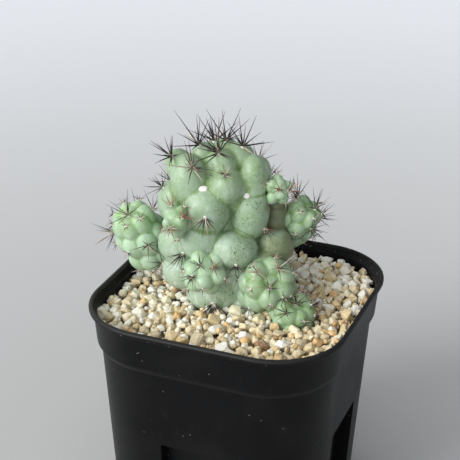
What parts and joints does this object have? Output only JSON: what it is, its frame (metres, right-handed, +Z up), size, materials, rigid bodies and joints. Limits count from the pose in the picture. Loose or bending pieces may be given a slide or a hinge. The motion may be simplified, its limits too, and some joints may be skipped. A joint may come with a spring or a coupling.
{
  "type": "potted cactus",
  "caption": "Clustering round cactus with swollen spiny tubercles and young offsets, planted under pale gravel in a square tapered plastic nursery pot.",
  "frame": {"origin": "centre of the pad under the middle of the pot, on the plane the pot stands on", "axes": "+Z up; the pot's four sides face -Y (front), +Y, -X and +X, and the plant's face is turned 21.5 degrees from the front side"},
  "size_m": [0.0956, 0.09, 0.14],
  "materials": {
    "pot": "satin",
    "potting_soil": "matte",
    "gravel": "matte",
    "stem_skin": "matte",
    "offset_skin": "satin",
    "roots": "matte",
    "spines": "satin"
  },
  "bodies": {
    "root": {"gravel_layer": "gravel", "main_stem": "stem_skin", "offset_front_left": "offset_skin", "offset_front_right": "offset_skin", "offset_ground": "offset_skin", "offset_left": "offset_skin", "offset_left_bud": "offset_skin", "offset_right": "offset_skin", "offset_right_bud": "offset_skin", "pot": "pot", "potting_soil": "potting_soil", "roots": "roots", "spines_back_crown": "spines", "spines_back_left": "spines", "spines_back_middle": "spines", "spines_back_right": "spines", "spines_belly": "spines", "spines_brow": "spines", "spines_cheek": "spines", "spines_crown_back": "spines", "spines_crown_front": "spines", "spines_crown_left": "spines", "spines_crown_middle": "spines", "spines_crown_right": "spines", "spines_flank": "spines", "spines_front_left_1": "spines", "spines_front_left_2": "spines", "spines_front_left_3": "spines", "spines_front_right_1": "spines", "spines_front_right_2": "spines", "spines_front_right_3": "spines", "spines_front_right_4": "spines", "spines_ground_1": "spines", "spines_ground_2": "spines", "spines_ground_3": "spines", "spines_haunch": "spines", "spines_hip": "spines", "spines_lap": "spines", "spines_left_1": "spines", "spines_left_2": "spines", "spines_left_3": "spines", "spines_left_4": "spines", "spines_left_5": "spines", "spines_left_bud_1": "spines", "spines_left_bud_2": "spines", "spines_left_bud_3": "spines", "spines_nape": "spines", "spines_ridge": "spines", "spines_right_1": "spines", "spines_right_2": "spines", "spines_right_3": "spines", "spines_right_4": "spines", "spines_right_bud_1": "spines", "spines_right_bud_2": "spines", "spines_rump_left": "spines", "spines_rump_middle": "spines", "spines_rump_right": "spines", "spines_temple": "spines", "spines_temple_top": "spines"}
  },
  "joints": []
}
